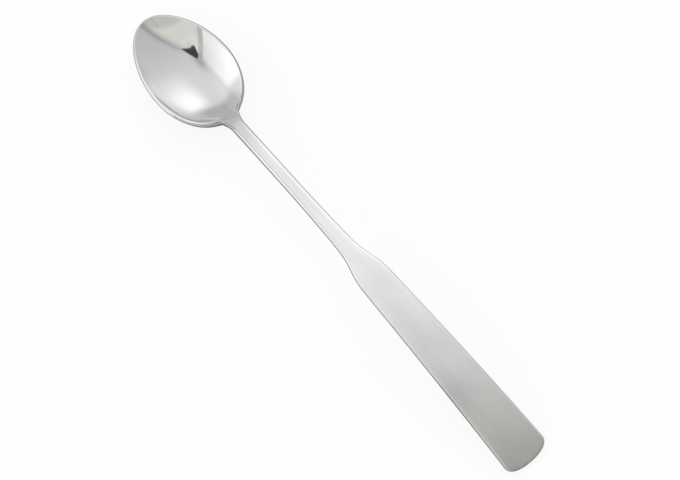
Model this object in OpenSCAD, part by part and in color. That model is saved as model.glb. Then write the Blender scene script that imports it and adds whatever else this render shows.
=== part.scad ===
// Iced tea spoon: an egg-shaped bowl, a slim shank and a broad arched handle, pressed from one steel blank.
// X runs from the bowl's tip to the handle's end, Y runs across, Z is up. Sizes are in millimetres.
// The spoon lies as on a table, on the belly of its bowl and on the end of its handle.

/* [Overall] */
// Length from the bowl's tip to the handle's end
overall_length = 190; // [175:1:220]

/* [Bowl] */
// Widest width of the bowl over its lips
bowl_width = 29.4; // [26:0.2:34]
// Length from the tip to the widest place
tip_length = 24.3; // [21:0.1:28]
// Length from the widest place to the point of the heel
heel_length = 19.7; // [17:0.1:22]
// How far the tip half narrows to a point
tip_point_share = 0.3; // [0.1:0.05:0.5]
// How far the heel half narrows to a point, or stays full below 0
heel_point_share = -0.1; // [-0.2:0.05:0.2]
// Depth of the hollow below the lips
bowl_depth = 6.3; // [5:0.1:8]
// How much steeper than a plain dish the hollow is at the lips
hollow_full_share = 0.05; // [0:0.05:0.3]
// How far the hollow runs on towards the neck along its middle
hollow_run_share = 0.1; // [0:0.02:0.3]
// How softly the hollow runs out at the neck
hollow_soft_share = 0.2; // [0.15:0.05:0.45]
// Thickness of the bowl's sheet
bowl_thickness = 1.4; // [1:0.1:1.8]
// Width of the rounded edge of the lip
lip_edge = 0.35; // [0.25:0.05:0.55]
// How round that edge is, from nearly square up to a full round at 1
lip_round_share = 0.75; // [0.5:0.05:1]
// Depth worn off the belly where it rests on the table
belly_wear = 0.1; // [0.02:0.02:0.2]

/* [Neck and shank] */
// Length from the point of the heel to the end of the neck
neck_length = 6; // [5:0.1:8]
// Extra half-width of the neck where it leaves the heel
neck_flare = 1; // [0.4:0.05:1.3]
// Length over which the neck's flare fades
neck_flare_length = 4.4; // [3:0.1:5]
// Size of the round between the heel and the neck
neck_blend = 2.4; // [2:0.1:4]
// Thickness at the neck
neck_thickness = 3; // [2.4:0.1:3.4]
// Width of the shank
shank_width = 4.75; // [4.2:0.05:6]
// Thickness of the shank
shank_thickness = 2.6; // [2.2:0.1:3]
// Width of the rounded edge on each side of the shank
shank_edge = 1.5; // [1:0.05:1.8]

/* [Handle] */
// Length from the tip of the bowl to the start of the handle
handle_start = 70; // [66:0.1:76]
// Length over which the handle widens gently before its shoulder
lead_length = 18.5; // [15:0.1:22]
// Half-width that the gentle widening would reach at the end of the shoulder
lead_flare = 1.25; // [0.8:0.05:1.6]
// Length of the shoulder
shoulder_length = 27; // [24:0.1:32]
// Width of the handle at the end of its shoulder
shoulder_width = 11.3; // [10:0.1:13]
// Width of the handle at its far end, before the rounding
end_width = 16.3; // [14.5:0.1:19]
// Length of the rounded end
end_round = 4; // [3:0.1:6]
// Thickness of the handle
handle_thickness = 2.3; // [2:0.1:2.8]
// Thickness at the handle's end
end_thickness = 1.9; // [1.6:0.1:2.4]
// Width of the rounded edge around the handle
handle_edge = 0.75; // [0.5:0.05:1]
// Depth worn off the underside of the handle's end where it rests on the table
end_wear = 0.06; // [0.02:0.02:0.1]

/* [Side profile] */
// Length from the tip of the bowl to the top of the arch
arch_place = 108; // [100:1:116]
// Drop from the top of the arch to the lip at the tip
tip_drop = 8.7; // [7:0.1:10.5]
// Drop from the top of the arch to the end of the handle
end_drop = 12.15; // [10:0.05:13.5]

/* [Hidden] */

// Counts of cells across, around an edge and along each zone
across = 17;
around = 5;
tip_rungs = 11;
heel_rungs = 14;
neck_rungs = 8;
shank_rungs = 9;
shoulder_rungs = 17;
paddle_rungs = 12;
end_rungs = 6;

// Angles of the outline at which the arcs of the two ends meet the side edges
tip_corner = 45;
end_corner = 42;

// Bends of the formulas for the outline and the side profile
front_share = 0.55;
rear_share = -0.25;
shoulder_rise = 5;
shoulder_fall = 1.42;
end_bend = 2.26;
rung_bend = 1.5;

// Where the zones lie along the spoon
x_tip = -overall_length / 2;
x_end = overall_length / 2;
x_wide = x_tip + tip_length;
x_heel = x_wide + heel_length;
x_neck = x_heel + neck_length;
x_arch = x_tip + arch_place;
x_rise = x_tip + handle_start;
x_step = x_rise + lead_length;
x_paddle = x_step + shoulder_length;
x_round = x_end - end_round;
thicken_start_share = 0.45;
x_thicken = x_wide + thicken_start_share * heel_length;
edge_start_share = 0.85;
x_edge = x_wide + edge_start_share * heel_length;

// The wall slopes at the lip, so the middle of the sheet lies inside the outline by this much
lip_slope = atan(4 * bowl_depth * (1 + hollow_full_share) / bowl_width);
lip_bend = 2 / (2 - lip_round_share);
lip_reach = pow(
    pow(lip_edge * cos(lip_slope), lip_bend) + pow(bowl_thickness / 2 * sin(lip_slope), lip_bend),
    1 / lip_bend);
half_bowl = bowl_width / 2 - lip_reach;
tip_reach = tip_length - lip_edge;
heel_reach = heel_length - lip_reach;
probe_share = 0.0001;
probe = overall_length * probe_share;

function share(s) = min(1, max(0, s));
function ramp(s) = let (t = share(s)) t * t * (3 - 2 * t);
function mix(a, b, s) = a + (b - a) * s;
function unit(p) = p / norm(p);

// Thickness of the blank and width of its rounded edge along the spoon
function thick(x) =
    x < x_neck ? mix(bowl_thickness, neck_thickness, ramp((x - x_thicken) / (x_neck - x_thicken)))
    : x < x_rise ? mix(neck_thickness, shank_thickness, ramp((x - x_neck) / (x_rise - x_neck)))
    : x < x_paddle ? mix(shank_thickness, handle_thickness, ramp((x - x_rise) / (x_paddle - x_rise)))
    : mix(handle_thickness, end_thickness, (x - x_paddle) / (x_end - x_paddle));
function edge(x) =
    x < x_neck ? mix(lip_edge, shank_edge, ramp((x - x_edge) / (x_neck - x_edge)))
    : mix(shank_edge, handle_edge, ramp((x - x_rise) / (x_paddle - x_rise)));
function edge_round(x) =
    x < x_neck ? mix(lip_round_share, 1, ramp((x - x_edge) / (x_neck - x_edge))) : 1;

// A curve that starts level and ends at 1, steeper at first where its share is above 0
function oval(s, point_share) = s * s * (1 + point_share - point_share * s);

// Height of the upper side at the edge, measured from the top of the arch, then the middle of the sheet
function upper(x) =
    x < x_arch ? -tip_drop * oval((x_arch - x) / arch_place, front_share)
    : -end_drop * oval((x - x_arch) / (x_end - x_arch), rear_share);
function middle(x) = upper(x) - thick(x) / 2;

// Outline of the bowl, in shares of each half's length
function reach(x) = x < x_wide ? (x_wide - x) / tip_reach : (x - x_wide) / heel_reach;
function point_share(x) = x < x_wide ? tip_point_share : heel_point_share;

// Half-widths of the middle of the sheet
function bowl_half(x) = half_bowl * sqrt(max(0, 1 - oval(min(1, reach(x)), point_share(x))));
function bar_half(x) =
    shank_width / 2 - edge(x)
    + neck_flare * pow(share(1 - (x - x_heel) / neck_flare_length), 2)
    + lead_flare * pow(share((x - x_rise) / (x_paddle - x_rise)), 2);
function heel_half(x) =
    let (a = bowl_half(x) - edge(x) + lip_edge, b = bar_half(x))
    max(a, b) + pow(max(0, neck_blend - abs(a - b)), 2) / (4 * neck_blend);
function paddle_half(x) =
    mix(shoulder_width, end_width, (x - x_paddle) / (x_end - x_paddle)) / 2 - edge(x);
function shoulder_share(x) =
    let (s = share((x - x_step) / shoulder_length))
    pow(s, shoulder_rise) / (pow(s, shoulder_rise) + pow(1 - s, shoulder_fall));
function handle_half(x) = mix(bar_half(x), paddle_half(x), shoulder_share(x));

// The hollow: its depth as a share of the bowl's depth, run out softly where the neck leaves it
function inside(x, y) = 1 - oval(reach(x), point_share(x)) - pow(y / half_bowl, 2);
function run_out(s, soft) =
    s >= soft ? s
    : s <= -soft ? 0
    : pow(s + soft, 2) / (4 * soft);
function dished(x, y) =
    let (s = inside(x, y), near = ramp(1 - abs(y) / (2 * shank_width)))
    x < x_wide ? s
    : x < x_neck ? run_out(s + hollow_run_share * near * ramp(reach(x)), hollow_soft_share * near)
    : 0;
function full(s) = s * (1 + hollow_full_share - hollow_full_share * s);

// The middle of the sheet at a place, and the direction square to it, taken a probe's length inside the lips
function height(x, y) = middle(x) - bowl_depth * full(dished(x, y));
function sheet(x, y) = [x, y, height(x, y)];
function square_to(x, y) =
    let (u = x - probe, v = y - sign(y) * probe)
    unit([height(u - probe, v) - height(u + probe, v), height(u, v - probe) - height(u, v + probe), 2 * probe]);

// Rungs of places (x, y) across the sheet: bowl from its tip, shank, handle from its end
function tip_place(a) = [x_wide - tip_reach * cos(a), half_bowl * sqrt(1 - oval(cos(a), tip_point_share))];
function tip_rung(i) =
    let (corner = tip_place(tip_corner),
         side = tip_place(mix(tip_corner, 90, i / tip_rungs)),
         flat = pow(1 - i / tip_rungs, rung_bend))
    [for (j = [0 : across])
        let (v = 2 * j / across - 1, arc = tip_place(abs(v) * tip_corner))
        [side.x - (corner.x - arc.x) * flat, sign(v) * side.y * arc.y / corner.y]];
function line_rung(x, half) =
    let (corner = tip_place(tip_corner))
    [for (j = [0 : across])
        let (v = 2 * j / across - 1)
        [x, sign(v) * half * tip_place(abs(v) * tip_corner).y / corner.y]];
function end_place(a) =
    [x_round + (end_round - handle_edge) * pow(sin(a), 2 / end_bend), pow(cos(a), 2 / end_bend)];
function end_rung(i) =
    let (corner = end_place(end_corner),
         side = end_place(mix(end_corner, 0, i / end_rungs)),
         flat = pow(1 - i / end_rungs, rung_bend))
    [for (j = [0 : across])
        let (v = 1 - 2 * j / across, arc = end_place(mix(90, end_corner, abs(v))),
             x = side.x + (arc.x - corner.x) * flat)
        [x, sign(v) * handle_half(side.x) * side.y * arc.y / corner.y]];
function turned(rung) = [for (j = [across : -1 : 0]) rung[j]];

bowl_lines = concat(
    [for (i = [0 : tip_rungs]) tip_rung(i)],
    [for (i = [1 : heel_rungs])
        let (x = x_wide + heel_reach * sin(90 * i / heel_rungs)) line_rung(x, heel_half(x))],
    [for (i = [1 : neck_rungs])
        let (x = mix(x_wide + heel_reach, x_neck, i / neck_rungs)) line_rung(x, heel_half(x))]);
shank_lines = [for (i = [0 : shank_rungs])
    let (x = mix(x_neck, x_rise, i / shank_rungs)) line_rung(x, bar_half(x))];
handle_lines = concat(
    [for (i = [0 : end_rungs]) end_rung(i)],
    [for (i = [1 : paddle_rungs])
        let (x = mix(x_round, x_paddle, i / paddle_rungs)) turned(line_rung(x, handle_half(x)))],
    [for (i = [1 : shoulder_rungs])
        let (x = mix(x_paddle, x_rise, i / shoulder_rungs)) turned(line_rung(x, handle_half(x)))]);

// The underside's lowest places, less their worn flats, set how far the spoon is lifted onto the table
function underside(rungs) =
    min([for (rung = rungs) for (p = rung) sheet(p.x, p.y).z - square_to(p.x, p.y).z * thick(p.x) / 2]);
lift = -min(underside(bowl_lines) + belly_wear, underside(handle_lines) + end_wear);
function worn(p) = [p.x, p.y, max(0, p.z)];

// Outward direction in the sheet at the side edges and round a tip
function before(rungs, i, j) =
    i > 0 ? rungs[i - 1][j] : j == 0 ? rungs[0][1] : rungs[0][j - 1];
function after(rungs, i, j) =
    j == 0 || j == across ? rungs[i + 1][j] : rungs[0][j + 1];
function along(rungs, i, j) =
    let (a = before(rungs, i, j), b = after(rungs, i, j))
    (sheet(b.x, b.y) - sheet(a.x, a.y)) * (j == 0 ? -1 : 1);
function outward(rungs, i, j, tipped) =
    i == len(rungs) - 1 || (i == 0 && !tipped) ? [0, sign(rungs[i][j].y), 0]
    : unit(cross(square_to(rungs[i][j].x, rungs[i][j].y), along(rungs, i, j)));

// Points round one rung: upper side, one edge, underside, the other edge
function rim(rungs, i, j, k, tipped) =
    let (p = rungs[i][j], a = 180 * k / (around + 1), bend = edge_round(p.x))
    worn(sheet(p.x, p.y) + [0, 0, lift]
        + outward(rungs, i, j, tipped) * edge(p.x) * pow(sin(a), bend)
        + square_to(p.x, p.y) * thick(p.x) / 2 * sign(cos(a)) * pow(abs(cos(a)), bend));
function face_point(p, side) =
    worn(sheet(p.x, p.y) + [0, 0, lift] + square_to(p.x, p.y) * thick(p.x) / 2 * side);
function ring(rungs, i, tipped) = concat(
    [for (j = [0 : across]) face_point(rungs[i][j], 1)],
    [for (k = [1 : around]) rim(rungs, i, across, k, tipped)],
    [for (j = [across : -1 : 0]) face_point(rungs[i][j], -1)],
    [for (k = [around : -1 : 1]) rim(rungs, i, 0, k, tipped)]);
round_count = 2 * (across + 1) + 2 * around;

// Points and faces of a closed solid over the rungs
function solid_points(rungs, tipped) = concat(
    [for (i = [0 : len(rungs) - 1]) each ring(rungs, i, tipped)],
    tipped ? [for (j = [1 : across - 1]) for (k = [1 : around]) rim(rungs, 0, j, k, tipped)] : []);
function tip_index(rungs, j, k) =
    k == 0 ? j
    : k == around + 1 ? 2 * across + 1 + around - j
    : j == 0 ? round_count - k
    : j == across ? across + k
    : len(rungs) * round_count + (j - 1) * around + k - 1;
function rung_faces(rungs) =
    [for (i = [0 : len(rungs) - 2]) for (r = [0 : round_count - 1])
        let (a = i * round_count + r,
             b = i * round_count + (r + 1) % round_count,
             c = a + round_count,
             d = b + round_count,
             first_half = r < across / 2 || r >= across + around + 1 + across / 2)
        each first_half ? [[a, b, d], [a, d, c]] : [[a, b, c], [b, d, c]]];
function tip_faces(rungs) =
    [for (j = [0 : across - 1]) for (k = [0 : around])
        let (a = tip_index(rungs, j, k), b = tip_index(rungs, j + 1, k),
             c = tip_index(rungs, j, k + 1), d = tip_index(rungs, j + 1, k + 1))
        each [[a, c, b], [b, c, d]]];
function cut_face(rungs, i) =
    let (start = across + 1 + floor(around / 2))
    [for (r = [0 : round_count - 1]) i * round_count + (start + r) % round_count];
function reversed(list) = [for (i = [len(list) - 1 : -1 : 0]) list[i]];

module sheet_solid(rungs, tipped) {
    polyhedron(
        points = solid_points(rungs, tipped),
        faces = concat(
            rung_faces(rungs),
            tipped ? tip_faces(rungs) : [reversed(cut_face(rungs, 0))],
            [cut_face(rungs, len(rungs) - 1)]),
        convexity = 4);
}

module bowl() {
    color("#c8cacb") sheet_solid(bowl_lines, true);
}

module shank() {
    color("#c2c4c4") sheet_solid(shank_lines, false);
}

module handle() {
    color("#b9bcba") sheet_solid(handle_lines, true);
}

bowl();
shank();
handle();
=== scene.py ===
import math

import bpy
import numpy as np
from mathutils import Matrix, Vector, kdtree


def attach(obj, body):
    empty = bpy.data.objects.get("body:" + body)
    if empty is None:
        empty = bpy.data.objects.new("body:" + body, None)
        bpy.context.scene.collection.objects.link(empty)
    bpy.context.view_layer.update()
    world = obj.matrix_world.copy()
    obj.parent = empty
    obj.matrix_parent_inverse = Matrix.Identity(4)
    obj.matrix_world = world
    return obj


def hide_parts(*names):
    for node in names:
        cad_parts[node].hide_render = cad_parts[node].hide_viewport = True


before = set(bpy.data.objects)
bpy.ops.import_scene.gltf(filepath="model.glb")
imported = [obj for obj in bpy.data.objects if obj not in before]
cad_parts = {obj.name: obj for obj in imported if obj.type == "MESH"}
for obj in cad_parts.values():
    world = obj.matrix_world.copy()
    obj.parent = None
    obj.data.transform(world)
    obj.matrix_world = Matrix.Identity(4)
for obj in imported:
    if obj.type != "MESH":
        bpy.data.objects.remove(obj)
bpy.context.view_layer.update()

# Sizes of the spoon in millimetres, and shares without a unit
LENGTH = 190.0
BOWL_WIDTH, TIP_LENGTH, HEEL_LENGTH = 29.4, 24.3, 19.7
TIP_POINT, HEEL_POINT = 0.3, -0.1
BOWL_DEPTH, HOLLOW_FULL, HOLLOW_RUN, HOLLOW_SOFT = 6.3, 0.05, 0.1, 0.2
BOWL_THICK, LIP_EDGE, LIP_SQUARE, BELLY_WEAR = 1.4, 0.35, 0.75, 0.1
NECK_LENGTH, NECK_FLARE, NECK_FLARE_LENGTH, NECK_BLEND, NECK_THICK = 6.0, 1.0, 4.4, 2.4, 3.0
SHANK_WIDTH, SHANK_THICK, SHANK_EDGE = 4.75, 2.6, 1.5
HANDLE_START, LEAD_LENGTH, LEAD_FLARE, SHOULDER_LENGTH = 70.0, 18.5, 1.25, 27.0
SHOULDER_WIDTH, END_WIDTH, END_ROUND = 11.3, 16.3, 4.0
HANDLE_THICK, END_THICK, HANDLE_EDGE, END_WEAR = 2.3, 1.9, 0.75, 0.06
ARCH_PLACE, TIP_DROP, END_DROP = 108.0, 8.7, 12.15
FRONT_BEND, REAR_BEND = 0.55, -0.25
SHOULDER_RISE, SHOULDER_FALL, END_BEND = 5.0, 1.42, 2.26
THICKEN_SHARE, EDGE_SHARE = 0.45, 0.85
MM = 0.001

# Places along the spoon
X_TIP, X_END = -LENGTH / 2, LENGTH / 2
X_WIDE = X_TIP + TIP_LENGTH
X_HEEL = X_WIDE + HEEL_LENGTH
X_NECK = X_HEEL + NECK_LENGTH
X_ARCH = X_TIP + ARCH_PLACE
X_RISE = X_TIP + HANDLE_START
X_STEP = X_RISE + LEAD_LENGTH
X_PADDLE = X_STEP + SHOULDER_LENGTH
X_ROUND = X_END - END_ROUND
X_THICKEN = X_WIDE + THICKEN_SHARE * HEEL_LENGTH
X_EDGE = X_WIDE + EDGE_SHARE * HEEL_LENGTH

# How far the lip reaches past the middle of the sheet
LIP_SLOPE = math.atan(4 * BOWL_DEPTH * (1 + HOLLOW_FULL) / BOWL_WIDTH)
LIP_NORM = 2 / (2 - LIP_SQUARE)
LIP_REACH = ((LIP_EDGE * math.cos(LIP_SLOPE)) ** LIP_NORM
             + (BOWL_THICK / 2 * math.sin(LIP_SLOPE)) ** LIP_NORM) ** (1 / LIP_NORM)
HALF_BOWL = BOWL_WIDTH / 2 - LIP_REACH
TIP_REACH, HEEL_REACH = TIP_LENGTH - LIP_EDGE, HEEL_LENGTH - LIP_REACH

# Visual mesh: cells across the sheet and round its edge, and where its rows turn at the two tips
ACROSS, AROUND = 44, 14
ROUND = 2 * (ACROSS + 1) + 2 * AROUND
ANGLES = np.pi * np.arange(1, AROUND + 1) / (AROUND + 1)
TIP_CORNER, END_CORNER, RUNG_BEND = math.radians(45), math.radians(42), 1.5
EASE_ROUNDS = 10
# Distance from the rim that counts as edge, and how softly it fades
RIM_WIDTH, RIM_FADE = 0.7, 0.8

# Colours of the steel from the bowl to the handle; the satin is painted lighter from the neck to the
# middle of the spoon and darker again over the handle, painted light and shade along its length
POLISHED = (0.535, 0.535, 0.532)
SATIN_NECK = (0.695, 0.693, 0.680)
SATIN_PAINTED_LIGHT = (0.752, 0.750, 0.737)
SATIN = (0.655, 0.665, 0.649)
# Cells per metre of the brushed grain, clouds and smudges along each axis
FINE_GRAIN, BROAD_GRAIN = (60, 5200, 0), (14, 700, 0)
CLOUDS, SMUDGES = (60, 150, 60), (160, 160, 160)
GRAIN_DEPTH = 0.000006

# Studio: strength, tints of its panels, and corners of its small opening in degrees from straight above
STUDIO_STRENGTH = 1.9
BACK_TINT, FRONT_TINT, SIDE_TINT = (0.99, 0.995, 1.015), (1.0, 1.0, 1.0), (1.0, 1.0, 0.955)
OPENING_TONE = (0.045, 0.047, 0.050)
OPENING = [(-0.2, -20.4), (-14.8, -31.0), (-13.5, -37.1), (-5.9, -43.6), (-4.5, -40.4), (-4.9, -35.1)]
OPENING_SOFT = [-2.4, -1.1, -1.1, -1.1, -1.1, -1.1]
FLOOR_RADIUS, FLOOR_SIDES, FLOOR_HEIGHT = 3, 96, -0.00005
FLOOR_TONE, FLOOR_GLOW = 0.97, 0.85

# Camera at the photograph's angle
CAMERA_TURN, CAMERA_RISE, CAMERA_DISTANCE = math.radians(48.9), math.radians(80), 0.9
CAMERA_RIGHT, CAMERA_UP = 0.00164, 0.000055
SENSOR_WIDTH, LENS = 36, 147.7


def ramp(s):
    t = np.clip(s, 0, 1)
    return t * t * (3 - 2 * t)


def fade(v, start, end):
    """0 at start and 1 at end, smooth between them."""
    return ramp((v - start) / (end - start))


def mix(a, b, s):
    return a + (b - a) * s


def unit(v):
    return v / np.linalg.norm(v, axis=-1, keepdims=True)


def thick(x):
    bowl = mix(BOWL_THICK, NECK_THICK, fade(x, X_THICKEN, X_NECK))
    neck = mix(NECK_THICK, SHANK_THICK, fade(x, X_NECK, X_RISE))
    rise = mix(SHANK_THICK, HANDLE_THICK, fade(x, X_RISE, X_PADDLE))
    end = mix(HANDLE_THICK, END_THICK, (x - X_PADDLE) / (X_END - X_PADDLE))
    return np.where(x < X_NECK, bowl, np.where(x < X_RISE, neck, np.where(x < X_PADDLE, rise, end)))


def edge(x):
    front = mix(LIP_EDGE, SHANK_EDGE, fade(x, X_EDGE, X_NECK))
    rear = mix(SHANK_EDGE, HANDLE_EDGE, fade(x, X_RISE, X_PADDLE))
    return np.where(x < X_NECK, front, rear)


def edge_bend(x):
    return np.where(x < X_NECK, mix(LIP_SQUARE, 1, fade(x, X_EDGE, X_NECK)), 1.0)


def oval(s, p):
    return s * s * (1 + p - p * s)


def upper(x):
    front = -TIP_DROP * oval((X_ARCH - x) / ARCH_PLACE, FRONT_BEND)
    rear = -END_DROP * oval((x - X_ARCH) / (X_END - X_ARCH), REAR_BEND)
    return np.where(x < X_ARCH, front, rear)


def middle(x):
    return upper(x) - thick(x) / 2


def reach(x):
    return np.where(x < X_WIDE, (X_WIDE - x) / TIP_REACH, (x - X_WIDE) / HEEL_REACH)


def point_share(x):
    return np.where(x < X_WIDE, TIP_POINT, HEEL_POINT)


def bowl_half(x):
    return HALF_BOWL * np.sqrt(np.maximum(0, 1 - oval(np.minimum(1, reach(x)), point_share(x))))


def bar_half(x):
    return (SHANK_WIDTH / 2 - edge(x)
            + NECK_FLARE * np.clip(1 - (x - X_HEEL) / NECK_FLARE_LENGTH, 0, 1) ** 2
            + LEAD_FLARE * np.clip((x - X_RISE) / (X_PADDLE - X_RISE), 0, 1) ** 2)


def heel_half(x):
    a, b = bowl_half(x) - edge(x) + LIP_EDGE, bar_half(x)
    return np.maximum(a, b) + np.maximum(0, NECK_BLEND - np.abs(a - b)) ** 2 / (4 * NECK_BLEND)


def handle_half(x):
    s = np.clip((x - X_STEP) / SHOULDER_LENGTH, 0, 1)
    k = s ** SHOULDER_RISE / (s ** SHOULDER_RISE + (1 - s) ** SHOULDER_FALL)
    paddle = mix(SHOULDER_WIDTH, END_WIDTH, (x - X_PADDLE) / (X_END - X_PADDLE)) / 2 - edge(x)
    return mix(bar_half(x), paddle, k)


def sheet_height(x, y):
    """Height of the middle of the sheet, hollow included, measured from the top of the arch."""
    s = 1 - oval(reach(x), point_share(x)) - (y / HALF_BOWL) ** 2
    m = ramp(1 - np.abs(y) / (2 * SHANK_WIDTH))
    h, r = np.maximum(HOLLOW_SOFT * m, 1e-9), s + HOLLOW_RUN * m * ramp(reach(x))
    run_out = np.where(r >= h, r, np.where(r <= -h, 0, (r + h) ** 2 / (4 * h)))
    d = np.where(x < X_WIDE, s, np.where(x < X_NECK, run_out, 0))
    return middle(x) - BOWL_DEPTH * d * (1 + HOLLOW_FULL - HOLLOW_FULL * d)


def square_to(x, y):
    """Unit direction square to the middle of the sheet, taken a little inside the lips."""
    e = 0.01
    u, v = x - e, y - np.sign(y) * e
    gx = (sheet_height(u + e, v) - sheet_height(u - e, v)) / (2 * e)
    gy = (sheet_height(u, v + e) - sheet_height(u, v - e)) / (2 * e)
    return unit(np.stack([-gx, -gy, np.ones_like(gx)], -1))


def sheet_point(p):
    return np.concatenate([p, sheet_height(p[..., 0], p[..., 1])[..., None]], -1)


def face_normal(x, y, side):
    """Unit normal of the upper (1) or under (-1) face at a place of the sheet."""
    e = 0.02
    x, y = x - e, y - np.sign(y) * e

    def face(px, py):
        p = np.stack([px, py], -1)
        return sheet_point(p) + square_to(px, py) * (thick(px) / 2 * side)[..., None]

    return unit(np.cross(face(x + e, y) - face(x - e, y), face(x, y + e) - face(x, y - e)) * side)


def tip_place(a):
    x = X_WIDE - TIP_REACH * np.cos(a)
    return np.stack([x, HALF_BOWL * np.sqrt(1 - oval(np.cos(a), TIP_POINT))], -1)


def end_place(a):
    return np.stack([X_ROUND + (END_ROUND - HANDLE_EDGE) * np.sin(a) ** (2 / END_BEND),
                     np.cos(a) ** (2 / END_BEND)], -1)


def rungs(across, tip_n, heel_n, neck_n, shank_n, shoulder_n, paddle_n, end_n):
    """Rows of places (x, y) across the sheet from tip to end, and where the two cuts are."""
    v = np.linspace(-1, 1, across + 1)
    corner = tip_place(np.array(TIP_CORNER))
    arc = tip_place(np.abs(v) * TIP_CORNER)
    spread = np.sign(v) * arc[:, 1] / corner[1]
    rows = []

    def straight(places, half):
        for x in places:
            rows.append(np.stack([np.full_like(v, x), half(np.array(x)) * spread], -1))

    for i in range(tip_n + 1):
        side = tip_place(np.array(mix(TIP_CORNER, math.pi / 2, i / tip_n)))
        flat = (1 - i / tip_n) ** RUNG_BEND
        rows.append(np.stack([side[0] - (corner[0] - arc[:, 0]) * flat, side[1] * spread], -1))
    straight(X_WIDE + HEEL_REACH * np.sin(np.linspace(0, math.pi / 2, heel_n + 1))[1:], heel_half)
    straight(np.linspace(X_WIDE + HEEL_REACH, X_NECK, neck_n + 1)[1:], heel_half)
    cut_a = len(rows) - 1
    straight(np.linspace(X_NECK, X_RISE, shank_n + 1)[1:], bar_half)
    cut_b = len(rows) - 1
    straight(np.linspace(X_RISE, X_PADDLE, shoulder_n + 1)[1:], handle_half)
    straight(np.linspace(X_PADDLE, X_ROUND, paddle_n + 1)[1:-1], handle_half)
    corner = end_place(np.array(END_CORNER))
    arc = end_place(mix(math.pi / 2, END_CORNER, np.abs(v)))
    for i in range(end_n, -1, -1):
        side = end_place(np.array(mix(END_CORNER, 0, i / end_n)))
        flat = (1 - i / end_n) ** RUNG_BEND
        half = handle_half(side[0]) * side[1]
        part = mix(arc[:, 1] / corner[1], np.abs(spread), i / end_n)
        x = side[0] + (arc[:, 0] - corner[0]) * flat
        rows.append(np.stack([x, np.sign(v) * half * part], -1))
    return np.array(rows), cut_a, cut_b


ROWS, CUT_A, CUT_B = rungs(ACROSS, tip_n=44, heel_n=40, neck_n=16, shank_n=36,
                           shoulder_n=64, paddle_n=84, end_n=14)


def outward(rows):
    """Points and directions of the sheet, and the outward directions at its sides and two tips."""
    pts = sheet_point(rows)
    nrm = square_to(rows[..., 0], rows[..., 1])
    sides = []
    for j, inner, sgn in ((0, 1, -1), (-1, -2, 1)):
        line = np.concatenate([pts[:1, inner], pts[:, j], pts[-1:, inner]])
        sides.append(unit(np.cross(nrm[:, j], (line[2:] - line[:-2]) * sgn)))
    tips = []
    for i, sgn in ((0, 1), (-1, -1)):
        tips.append(unit(np.cross(nrm[i, 1:-1], (pts[i, 2:] - pts[i, :-2]) * sgn)))
    return pts, nrm, sides, tips


def eased(v):
    """Directions along the two side edges, evened out over neighbouring rows."""
    for j in (0, -1):
        for _ in range(EASE_ROUNDS):
            v[1:-1, j] = unit(v[:-2, j] + 2 * v[1:-1, j] + v[2:, j])
    return v


def spoon_grid():
    """Rings of points and normals round the whole spoon, and the rounded closures of its tips."""
    pts, nrm, sides, tips = outward(ROWS)
    nrm, sides = eased(nrm), np.moveaxis(eased(np.stack(sides, 1)), 1, 0)
    x, y = ROWS[..., 0], ROWS[..., 1]
    half = (thick(x) / 2)[..., None]
    wide = edge(x)[..., None]
    bend = edge_bend(x)[..., None]
    top, under = pts + nrm * half, pts - nrm * half
    n_top, n_under = eased(face_normal(x, y, 1)), eased(face_normal(x, y, -1))
    lift = -min(under[:CUT_A + 1, :, 2].min() + BELLY_WEAR, under[CUT_B:, :, 2].min() + END_WEAR)

    def cap(at, out):
        """Points and normals round the edge, with one row for each place along it."""
        p, n = [], []
        for a in ANGLES:
            up, aside = abs(math.cos(a)), math.sin(a)
            face, way = (n_top[at], 1) if a < math.pi / 2 else (n_under[at], -1)
            p.append(pts[at] + out * wide[at] * aside ** bend[at]
                     + nrm[at] * half[at] * way * up ** bend[at])
            n.append(unit(out * half[at] * aside ** (2 - bend[at])
                          + face * wide[at] * up ** (2 - bend[at])))
        return np.stack(p, 1), np.stack(n, 1)

    low_p, low_n = cap(np.s_[:, 0], sides[0])
    high_p, high_n = cap(np.s_[:, -1], sides[1])
    p = np.concatenate([top, high_p, under[:, ::-1], low_p[:, ::-1]], 1)
    n = np.concatenate([n_top, high_n, n_under[:, ::-1], low_n[:, ::-1]], 1)
    done = []
    for q, m in ((p, n), cap(np.s_[0, 1:-1], tips[0]), cap(np.s_[-1, 1:-1], tips[1])):
        q = q + np.array([0, 0, lift])
        dark_patch = q[..., 2] < 0
        q[..., 2] = np.maximum(q[..., 2], 0)
        done.append((q, np.where(dark_patch[..., None], np.array([0, 0, -1.0]), m)))
    return done


GRID, TIP, END = spoon_grid()


def edge_share(points):
    """1 on the rounded edge, fading to 0 within about two millimetres of it."""
    a = AROUND // 2
    rim = np.concatenate([GRID[0][:, ACROSS + 1 + a], GRID[0][:, ROUND - 1 - a],
                          TIP[0][:, a], END[0][:, a]])
    tree = kdtree.KDTree(len(rim))
    for i, p in enumerate(rim):
        tree.insert(p, i)
    tree.balance()
    distance = np.array([tree.find(p)[2] for p in points])
    return np.exp(-np.maximum(0, distance - RIM_WIDTH) ** 2 / RIM_FADE ** 2)


def edge_level(rings, closing):
    """1 on the upper face, -1 on the under face, and between them round the edge."""
    turned = np.cos(ANGLES)
    ring = np.concatenate([np.ones(ACROSS + 1), turned, -np.ones(ACROSS + 1), turned[::-1]])
    tip = np.tile(turned, 0 if closing is None else ACROSS - 1)
    return np.concatenate([np.tile(ring, rings), tip])


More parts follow.
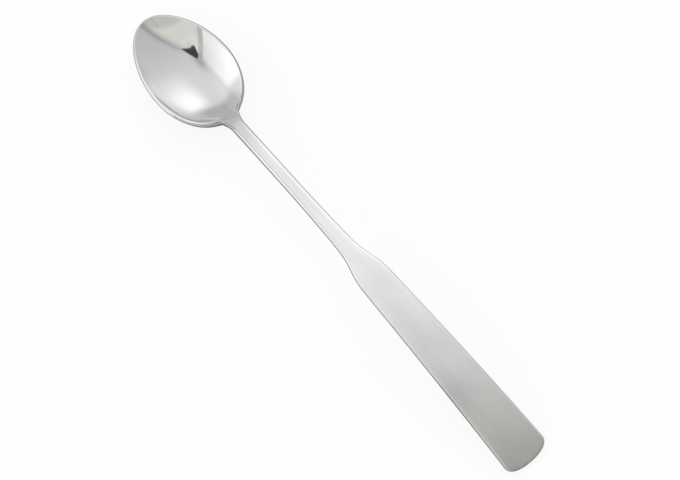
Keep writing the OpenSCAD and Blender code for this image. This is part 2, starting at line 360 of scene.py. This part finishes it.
def tones(points, normals, level):
    """Values of the steel at each vertex, from its place in millimetres and the way it faces, with
    painted highlights and painted shade for its colour.
    """
    x, y = points[:, 0], points[:, 1]
    aside, up = normals[:, 1], normals[:, 2]
    near, far = edge_share(points), y > 0
    # Painted highlight: a light line on the lip round the heel
    heel = fade(x, -72, -64) * fade(x, -51, -54)
    far_lip_highlight = fade(level, 0.3, 0.6) * fade(level, 1, 0.94)
    lip_highlight = near * heel * np.where(far, far_lip_highlight, fade(up, 0.84, 0.94))
    # Painted shade: a darker place where the hollow runs out into the neck
    neck = fade(x, -46.4, -51) * fade(x, -54, -52.5) * fade(up, 0.855, 0.895)
    # Painted highlight: a lighter wall of the hollow on the near side
    place = -y / np.maximum(bowl_half(np.minimum(x, X_HEEL)), 0.5)
    wall_highlight = fade(place, 0.74, 0.88) * fade(x, -82, -74) * fade(x, -57, -65) * fade(aside, 0.1, 0.3)
    # Painted shade on the flank of the edge, only a thin dark line on the far side of the bowl; the
    # flank is also made a little rougher in the material
    start = 0.66 + 0.08 * fade(x, -70, -60) + 0.10 * fade(x, -50, -38)
    flank_shade = near * ramp((start - up) / 0.3) * (1 - 0.45 * fade(x, -66, -76) * ~far)
    thin_shade = near * fade(level, 0.4, 0) * 0.66
    flank_shade = mix(flank_shade, thin_shade, far * fade(x, -93, -87) * fade(x, -49, -52))
    half = np.where(x < X_RISE, bar_half(x), handle_half(x)) + edge(x)
    return {"edge": near, "flank_shade": flank_shade, "across": np.clip(y / half, -1, 1),
            "light": 0.55 * lip_highlight + 0.25 * wall_highlight - 0.36 * neck}


def piece(name, first, last, closing):
    """One zone as a closed mesh, from ring first to ring last; closing is its rounded tip, if any."""
    rings = last - first + 1
    points = [GRID[0][first:last + 1].reshape(-1, 3)]
    normals = [GRID[1][first:last + 1].reshape(-1, 3)]
    faces, cuts = [], {}

    def at(i, r):
        return (i - first) * ROUND + r % ROUND

    def under(j):
        return 2 * ACROSS + 1 + AROUND - j

    for i in range(first, last):
        for r in range(ROUND):
            faces.append((at(i, r), at(i + 1, r), at(i + 1, r + 1), at(i, r + 1)))
    if closing is not None:
        ring = first if closing is TIP else last
        points.append(closing[0].reshape(-1, 3))
        normals.append(closing[1].reshape(-1, 3))

        def spot(j, k):
            if k == 0:
                return at(ring, j)
            if k == AROUND + 1:
                return at(ring, under(j))
            if j == 0:
                return at(ring, ROUND - k)
            if j == ACROSS:
                return at(ring, ACROSS + k)
            return rings * ROUND + (j - 1) * AROUND + k - 1

        for j in range(ACROSS):
            for k in range(AROUND + 1):
                f = (spot(j, k), spot(j + 1, k), spot(j + 1, k + 1), spot(j, k + 1))
                faces.append(f if closing is TIP else f[::-1])
    for ring, way in ((first, -1), (last, 1)):
        if (closing is TIP and ring == first) or (closing is END and ring == last):
            continue
        flat = [[at(ring, under(j)), at(ring, under(j + 1)), at(ring, j + 1), at(ring, j)]
                for j in range(ACROSS)]
        flat.append([at(ring, ACROSS + k) for k in range(AROUND + 1, -1, -1)])
        flat.append([at(ring, ROUND - k) for k in range(AROUND + 1)] + [at(ring, under(0))])
        for f in flat:
            cuts[len(faces)] = (way, 0, 0)
            faces.append(f if way > 0 else f[::-1])
    points, normals = np.concatenate(points), np.concatenate(normals)
    mesh = bpy.data.meshes.new(name)
    mesh.from_pydata((points * MM).tolist(), [], faces)
    mesh.validate()
    mesh.polygons.foreach_set("use_smooth", [True] * len(mesh.polygons))
    order = np.zeros(len(mesh.loops), int)
    mesh.loops.foreach_get("vertex_index", order)
    loops = normals[order]
    for index, way in cuts.items():
        poly = mesh.polygons[index]
        loops[poly.loop_start:poly.loop_start + poly.loop_total] = way
    mesh.normals_split_custom_set(loops.tolist())
    for key, values in tones(points, normals, edge_level(rings, closing)).items():
        mesh.attributes.new(key, "FLOAT", "POINT").data.foreach_set("value", values)
    obj = bpy.data.objects.new(name, mesh)
    bpy.context.scene.collection.objects.link(obj)
    return obj


class Nodes:
    """Short helpers for writing a node tree as sums and products."""

    def __init__(self, tree):
        self.tree = tree
        tree.nodes.clear()

    def new(self, kind, **values):
        node = self.tree.nodes.new(kind)
        for key, value in values.items():
            setattr(node, key, value)
        return node

    def join(self, value, socket):
        if isinstance(value, bpy.types.NodeSocket):
            self.tree.links.new(value, socket)
        else:
            socket.default_value = value

    def attribute(self, name):
        return self.new("ShaderNodeAttribute", attribute_name=name).outputs["Fac"]

    def math(self, operation, *values):
        node = self.new("ShaderNodeMath", operation=operation)
        for value, socket in zip(values, node.inputs):
            self.join(value, socket)
        return node.outputs[0]

    def add(self, *values):
        total = values[0]
        for value in values[1:]:
            total = self.math("ADD", total, value)
        return total

    def times(self, *values):
        total = values[0]
        for value in values[1:]:
            total = self.math("MULTIPLY", total, value)
        return total

    def ramp(self, value, start, end, low=0.0, high=1.0):
        """low at start and high at end, smooth between them."""
        if start > end:
            start, end, low, high = end, start, high, low
        node = self.new("ShaderNodeMapRange", interpolation_type="SMOOTHSTEP")
        self.join(value, node.inputs["Value"])
        for key, number in (("From Min", start), ("From Max", end), ("To Min", low), ("To Max", high)):
            node.inputs[key].default_value = number
        return node.outputs["Result"]

    def bell(self, value, middle, width):
        """1 at the middle, falling away on both sides."""
        scaled = self.math("DIVIDE", self.add(value, -middle), width)
        return self.math("EXPONENT", self.times(scaled, scaled, -1.0))

    def line(self, x, y, start, end):
        """Distance from the line start to end, positive on its left."""
        dx, dy = end[0] - start[0], end[1] - start[1]
        size = math.hypot(dx, dy)
        offset = (dy * start[0] - dx * start[1]) / size
        return self.add(self.times(x, -dy / size), self.times(y, dx / size), offset)

    def blend(self, share, a, b):
        node = self.new("ShaderNodeMix", data_type="RGBA")
        self.join(share, node.inputs[0])
        for value, socket in ((a, node.inputs[6]), (b, node.inputs[7])):
            self.join(value if isinstance(value, bpy.types.NodeSocket) else (*value, 1.0), socket)
        return node.outputs[2]

    def scaled(self, colour, amount):
        node = self.new("ShaderNodeVectorMath", operation="SCALE")
        self.join(colour, node.inputs[0])
        self.join(amount, node.inputs["Scale"])
        return node.outputs[0]

    def noise(self, place, scale, detail, rough=0.5):
        stretch = self.new("ShaderNodeVectorMath", operation="MULTIPLY")
        self.join(place, stretch.inputs[0])
        stretch.inputs[1].default_value = scale
        node = self.new("ShaderNodeTexNoise", noise_dimensions="3D")
        self.join(stretch.outputs[0], node.inputs["Vector"])
        node.inputs["Scale"].default_value = 1.0
        node.inputs["Detail"].default_value = detail
        node.inputs["Roughness"].default_value = rough
        return node.outputs["Fac"]


def steel(name):
    """Polished steel in the bowl that turns into satin with a lengthwise grain along the shank, with
    painted light and shade added to its colour.
    """
    material = bpy.data.materials.new(name)
    material.use_nodes = True
    n = Nodes(material.node_tree)
    place = n.new("ShaderNodeTexCoord").outputs["Object"]
    axes = n.new("ShaderNodeSeparateXYZ")
    n.join(place, axes.inputs[0])
    x = axes.outputs["X"]
    rim, flank_shade, across, light = [n.attribute(k) for k in ("edge", "flank_shade", "across", "light")]
    satin = n.ramp(x, -0.047, -0.032)
    grain = n.noise(place, FINE_GRAIN, 3, 0.6)
    fine, broad, cloud, smudge = [n.add(v, -0.5) for v in (
        grain, n.noise(place, BROAD_GRAIN, 2), n.noise(place, CLOUDS, 3),
        n.noise(place, SMUDGES, 4, 0.6))]
    # Tone: painted light that makes the handle lighter towards its sides and towards its far side, one
    # darker patch on the near side, and painted shade on the flanks
    painted_side_light = n.add(n.times(across, 0.05), n.times(across, across, n.ramp(x, 0.060, 0.035), 0.07))
    dark_patch = n.times(n.bell(x, 0.065, 0.009), n.ramp(across, 0.3, -0.6), -0.10)
    brush_and_painted_light = n.add(n.times(fine, 0.06), n.times(broad, 0.12), n.times(cloud, 0.24), painted_side_light, dark_patch)
    # Painted highlights and painted shade from the light attribute and the flank go into the tone here
    tone = n.add(1.0, n.times(smudge, 0.02), n.times(rim, satin, 0.05), n.times(flank_shade, -0.68),
                 light, n.times(satin, brush_and_painted_light))
    # Satin colour with painted light and shade along the length: darker at the neck, lighter in the
    # middle, darker again on the handle
    satin_with_painted_light = n.blend(n.ramp(x, -0.030, 0.002), SATIN_NECK, SATIN_PAINTED_LIGHT)
    satin_with_painted_light = n.blend(n.ramp(x, 0.008, 0.050), satin_with_painted_light, SATIN)
    colour = n.scaled(n.blend(satin, POLISHED, satin_with_painted_light), tone)
    polished_rough = n.add(0.055, n.times(smudge, 0.04))
    satin_rough = n.add(0.34, n.times(fine, 0.10), n.times(cloud, 0.10), n.times(rim, -0.10))
    rough = n.add(n.times(flank_shade, 0.12), n.times(satin_rough, satin),
                  n.times(polished_rough, n.add(1.0, n.times(satin, -1.0))))
    bump = n.new("ShaderNodeBump")
    n.join(n.add(0.03, n.times(satin, 0.6)), bump.inputs["Strength"])
    bump.inputs["Distance"].default_value = GRAIN_DEPTH
    n.join(grain, bump.inputs["Height"])
    shader = n.new("ShaderNodeBsdfPrincipled")
    shader.inputs["Metallic"].default_value = 1.0
    n.join(colour, shader.inputs["Base Color"])
    n.join(rough, shader.inputs["Roughness"])
    n.join(bump.outputs["Normal"], shader.inputs["Normal"])
    out = n.new("ShaderNodeOutputMaterial")
    n.join(shader.outputs["BSDF"], out.inputs["Surface"])
    return material


def studio(world):
    """Soft light of a pale tent: three cloth panels that meet at a small opening above the bowl.

    x and y are degrees from straight above along the spoon and across it, and fall is the
    angle from straight above.
    """
    world.use_nodes = True
    n = Nodes(world.node_tree)
    way = n.new("ShaderNodeSeparateXYZ")
    n.join(n.new("ShaderNodeTexCoord").outputs["Generated"], way.inputs[0])
    wx, wy, wz = way.outputs
    flat = n.math("MAXIMUM", n.math("SQRT", n.add(n.times(wx, wx), n.times(wy, wy))), 0.0001)
    fall = n.times(n.math("ARCCOSINE", wz), 180 / math.pi)
    stretch = n.math("DIVIDE", fall, flat)
    x, y = n.times(wx, stretch), n.times(wy, stretch)
    back_seam = n.line(x, y, (0, -20), (22, 12))
    front_seam = n.line(x, y, (-13.3, -44.3), (-5.6, -63.1))
    # Back panel with a lamp behind it
    slant, cut = n.add(x, n.times(y, -0.137)), n.add(x, n.times(y, 0.2))
    lamp = n.times(n.ramp(x, -2, -50), n.ramp(y, 2, 45), n.ramp(fall, 92, 77),
                   n.ramp(cut, -60, -41), 0.36)
    low = n.add(n.ramp(y, -22, 0, -0.225, -0.315), n.ramp(fall, 78, 88, 0.0, 0.12))
    side = n.add(1.0, n.times(low, n.ramp(slant, -61, -73), n.ramp(y, 66, 44)))
    back = n.times(side, n.ramp(fall, 65, 95, 1.0, 0.78), n.add(n.ramp(x, 30, -40, 0.46, 0.655), lamp))
    # Front panel, the brightest
    front = n.times(n.ramp(x, -57, -69, 1.0, 0.72), n.ramp(x, -5, -60, 0.69, 0.99),
                    n.ramp(y, -45, -75, 0.97, 1.16))
    # Side panel, a little warmer
    side_fold = n.line(x, y, (12.7, -47), (18.7, -12))
    crease = n.times(n.bell(y, -11.3, 2.2), n.ramp(x, 18.5, 20.5), -0.09)
    right = n.add(n.ramp(side_fold, -1.5, 1.5, 0.497, 0.615),
                  n.times(n.ramp(x, 6, 0), n.ramp(y, -60, -52), 0.05), crease)
    right_share = n.times(n.ramp(back_seam, 1.5, -1.5), n.ramp(front_seam, -3.4, -1.8))
    front_share = n.times(n.ramp(y, -31, -44), n.ramp(front_seam, -1.8, -3.4))
    colour = n.blend(front_share, n.scaled(BACK_TINT, back), n.scaled(FRONT_TINT, front))
    warm = n.blend(n.ramp(y, -60, -52), FRONT_TINT, SIDE_TINT)
    colour = n.blend(right_share, colour, n.scaled(warm, right))
    # Seams and folds of the cloth
    dark = n.add(
        n.times(n.bell(back_seam, 0, 4.5), n.ramp(x, -4, 2), n.ramp(x, 2, 20, 0.25, 0.36)),
        n.times(n.ramp(front_seam, -3.8, -1.6), n.ramp(front_seam, 3.8, 1.2),
                n.ramp(y, -34, -42), 0.29),
        n.times(n.bell(y, -34.4, 1.1), n.ramp(x, -26, -36), n.ramp(x, -66, -58), 0.05),
        n.times(n.bell(x, -18.5, 8.0), n.bell(y, -31, 8.0), 0.33),
        n.times(n.bell(x, -24, 14.0), n.bell(y, -27, 12.0), 0.09),
        n.times(n.bell(x, -2.5, 3.0), n.bell(y, -36, 6.0), 0.15))
    pale = n.times(n.bell(x, -55, 11.0), n.bell(y, -27, 10.0), 0.10)
    # Open side of the tent beyond the handle
    open_side = n.times(n.ramp(x, 22, 40), n.ramp(y, -45, -20), n.ramp(y, 60, 35))
    dim = n.times(n.add(1.0, n.times(dark, -1.0), pale), n.add(1.0, n.times(open_side, -0.75)))
    # Small dark opening where the panels meet
    sides = [n.ramp(n.line(x, y, p, q), soft, 0.3)
             for p, q, soft in zip(OPENING, OPENING[1:] + OPENING[:1], OPENING_SOFT)]
    hole = n.times(*sides[:4], n.math("MAXIMUM", *sides[4:]))
    colour = n.blend(hole, n.scaled(colour, dim), OPENING_TONE)
    ground = n.new("ShaderNodeBackground")
    n.join(colour, ground.inputs["Color"])
    ground.inputs["Strength"].default_value = STUDIO_STRENGTH
    out = n.new("ShaderNodeOutputWorld")
    n.join(ground.outputs[0], out.inputs["Surface"])


def white_floor():
    """A pale floor that is white to the camera and in the steel, and keeps the spoon's shadow."""
    mesh = bpy.data.meshes.new("floor")
    steps = [2 * math.pi * i / FLOOR_SIDES for i in range(FLOOR_SIDES)]
    rim = [(FLOOR_RADIUS * math.cos(a), FLOOR_RADIUS * math.sin(a), FLOOR_HEIGHT) for a in steps]
    mesh.from_pydata(rim, [], [list(range(FLOOR_SIDES))])
    floor = bpy.data.objects.new("floor", mesh)
    bpy.context.scene.collection.objects.link(floor)
    material = bpy.data.materials.new("white_floor")
    material.use_nodes = True
    n = Nodes(material.node_tree)
    ray = n.new("ShaderNodeLightPath")
    rays = ("Is Camera Ray", "Is Glossy Ray", "Is Transmission Ray")
    seen = n.math("MINIMUM", n.add(*[ray.outputs[k] for k in rays]), 1.0)
    cloth = n.new("ShaderNodeBsdfDiffuse")
    cloth.inputs["Color"].default_value = (FLOOR_TONE, FLOOR_TONE, FLOOR_TONE, 1)
    glow = n.new("ShaderNodeEmission")
    mixed = n.new("ShaderNodeMixShader")
    n.join(n.times(seen, FLOOR_GLOW), mixed.inputs[0])
    n.join(cloth.outputs[0], mixed.inputs[1])
    n.join(glow.outputs[0], mixed.inputs[2])
    out = n.new("ShaderNodeOutputMaterial")
    n.join(mixed.outputs[0], out.inputs["Surface"])
    mesh.materials.append(material)


def place_camera(scene):
    right = Vector((math.cos(CAMERA_TURN), math.sin(CAMERA_TURN), 0))
    level = math.cos(CAMERA_RISE)
    away = Vector((math.sin(CAMERA_TURN) * level, -math.cos(CAMERA_TURN) * level, math.sin(CAMERA_RISE)))
    up = away.cross(right)
    lens = bpy.data.cameras.new("camera")
    lens.sensor_fit = "HORIZONTAL"
    lens.sensor_width = SENSOR_WIDTH
    lens.lens = LENS
    camera = bpy.data.objects.new("camera", lens)
    scene.collection.objects.link(camera)
    stand = away * CAMERA_DISTANCE + right * CAMERA_RIGHT + up * CAMERA_UP
    camera.matrix_world = Matrix.Translation(stand) @ Matrix((right, up, away)).transposed().to_4x4()
    scene.camera = camera


# The three zones of the spoon
bowl = piece("spoon_bowl", 0, CUT_A, TIP)
shank = piece("spoon_shank", CUT_A, CUT_B, None)
handle = piece("spoon_handle", CUT_B, len(ROWS) - 1, END)
polished_steel, satin_steel = steel("polished_steel"), steel("satin_steel")
for obj, node, material, slot in ((bowl, "bowl", polished_steel, "polished_steel"),
                                  (shank, "shank", satin_steel, "satin_steel"),
                                  (handle, "handle", satin_steel, "satin_steel")):
    obj.data.materials.append(material)
    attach(obj, "root")
    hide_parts(node)

# Studio, floor and camera
scene = bpy.context.scene
scene.view_settings.view_transform = "Standard"
scene.world = scene.world or bpy.data.worlds.new("studio")
studio(scene.world)
white_floor()
place_camera(scene)

bpy.context.view_layer.update()
